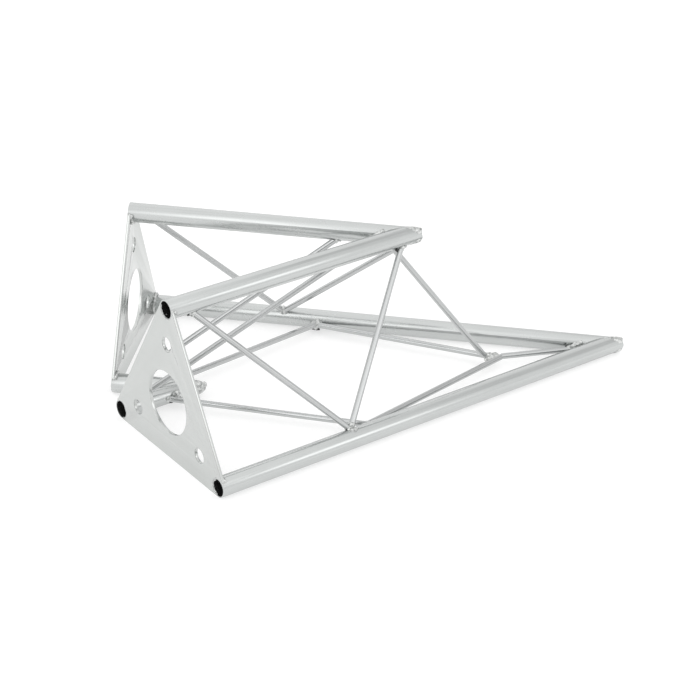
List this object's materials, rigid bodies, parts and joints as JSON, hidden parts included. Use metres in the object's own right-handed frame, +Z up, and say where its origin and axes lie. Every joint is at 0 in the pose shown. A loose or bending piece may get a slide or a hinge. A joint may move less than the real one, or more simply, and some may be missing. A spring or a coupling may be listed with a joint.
{
  "type": "truss corner section",
  "caption": "Forty-five degree two-way corner of a small triangular truss: mitred tube chords, thin rod lacing and a flat triangular end plate on each arm.",
  "frame": {"origin": "centre of the bounding box in plan, at the level of the bottom chords' undersides", "axes": "+X along the bisector of the two arms, out through the point of the corner; +Y from arm a to arm b; +Z up, from the bottom chords to the top chord"},
  "size_m": [0.4862, 0.3534, 0.1531],
  "materials": {
    "plate_steel": "satin",
    "tube_steel": "satin",
    "rod_steel": "satin"
  },
  "bodies": {
    "root": {"end_plate_a": "plate_steel", "chord_outer_a": "tube_steel", "chord_top_a": "tube_steel", "chord_inner_a": "tube_steel", "lacing_outer_a1": "rod_steel", "lacing_outer_a2": "rod_steel", "lacing_bottom_a1": "rod_steel", "lacing_bottom_a2": "rod_steel", "brace_inner_a": "rod_steel", "end_plate_b": "plate_steel", "chord_outer_b": "tube_steel", "chord_top_b": "tube_steel", "chord_inner_b": "tube_steel", "lacing_outer_b1": "rod_steel", "lacing_outer_b2": "rod_steel", "lacing_bottom_b1": "rod_steel", "lacing_bottom_b2": "rod_steel", "brace_inner_b": "rod_steel", "mitre_brace": "rod_steel", "mitre_strut": "rod_steel"}
  },
  "joints": []
}
